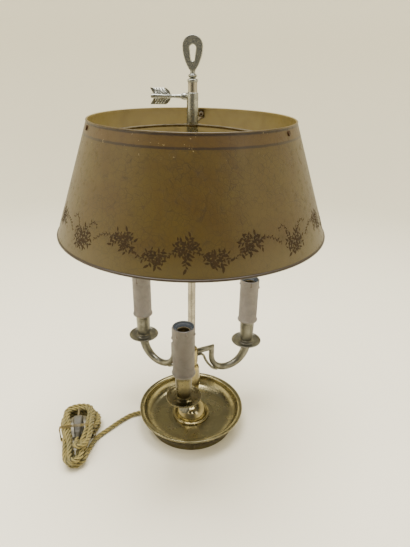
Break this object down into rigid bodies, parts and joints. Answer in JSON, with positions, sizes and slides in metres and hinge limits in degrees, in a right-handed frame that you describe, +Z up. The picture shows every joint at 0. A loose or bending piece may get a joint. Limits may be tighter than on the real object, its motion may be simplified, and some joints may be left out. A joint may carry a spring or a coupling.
{
  "type": "bouillotte lamp",
  "caption": "Table lamp with a dish foot, scroll candle arms, a column with ring finial and a painted metal shade that slides on it.",
  "frame": {"origin": "on the table under the column's axis, at the felt's underside", "axes": "+Z up along the column, -Y towards the front candle arm, +X to the right"},
  "size_m": [0.3611, 0.3322, 0.5395],
  "materials": {
    "dish_brass": "polished, golden olive with a soft tarnish",
    "arm_brass": "polished casting, pale olive brass",
    "column_brass": "polished, paler",
    "plated_steel": "zinc plated",
    "contact_brass": "plain",
    "cast_iron": "as cast",
    "green_felt": "woven felt",
    "candle_card": "card tube with an ivory wax finish, mottled",
    "slate_moulding": "moulded, slate blue",
    "shade_paint": "aged mustard paint with fine craquelure and a brown leafy garland",
    "silk_cord": "twisted straw-gold silk",
    "cotton_tie": "flat cotton tape",
    "wire_cover": "fabric-coloured rubber",
    "bushing_moulding": "moulded brown",
    "plug_moulding": "moulded grey olive"
  },
  "bodies": {
    "stand": {"dish_base": "dish_brass", "base_weight": "cast_iron", "felt_pad": "green_felt", "cord_bushing": "bushing_moulding", "threaded_rod": "plated_steel", "base_washer": "plated_steel", "lock_nut": "plated_steel", "stem_dome": "dish_brass", "stem_baluster": "dish_brass", "arm_hub": "dish_brass", "column": "column_brass", "arm_front": "arm_brass", "arm_right": "arm_brass", "arm_left": "arm_brass", "arm_leads": "wire_cover", "drip_pan_front": "arm_brass", "candle_cup_front": "arm_brass", "sleeve_seat_front": "plated_steel", "nipple_front": "plated_steel", "holder_stem_front": "plated_steel", "lamp_holder_front": "slate_moulding", "screw_shell_front": "contact_brass", "centre_contact_front": "contact_brass", "candle_sleeve_front": "candle_card", "drip_pan_right": "arm_brass", "candle_cup_right": "arm_brass", "sleeve_seat_right": "plated_steel", "nipple_right": "plated_steel", "holder_stem_right": "plated_steel", "lamp_holder_right": "slate_moulding", "screw_shell_right": "contact_brass", "centre_contact_right": "contact_brass", "candle_sleeve_right": "candle_card", "drip_pan_left": "arm_brass", "candle_cup_left": "arm_brass", "sleeve_seat_left": "plated_steel", "nipple_left": "plated_steel", "holder_stem_left": "plated_steel", "lamp_holder_left": "slate_moulding", "screw_shell_left": "contact_brass", "centre_contact_left": "contact_brass", "candle_sleeve_left": "candle_card", "finial": "column_brass", "cord_run": "silk_cord", "cord_hank": "silk_cord", "cord_tie": "cotton_tie", "plug_body": "plug_moulding", "plug_pins": "contact_brass", "cord_inner_end": "silk_cord", "supply_wires": "wire_cover"},
    "shade_assembly": {"shade_carrier": "column_brass", "spider": "column_brass", "shade": "shade_paint", "shade_screws": "column_brass", "shade_nuts": "plated_steel"},
    "thumb_screw": {"thumb_screw": "column_brass"}
  },
  "joints": [
    {"name": "shade_slide", "type": "slide", "parent": "stand", "child": "shade_assembly", "axis": [0, 0, 1], "range_m": [-0.115, 0.009]},
    {"name": "thumb_screw_turn", "type": "hinge", "parent": "shade_assembly", "child": "thumb_screw", "pos_m": [-0.01989, -0.00207, 0.477], "axis": [-0.9946, -0.1037, 0], "range_deg": [0, 270]}
  ]
}
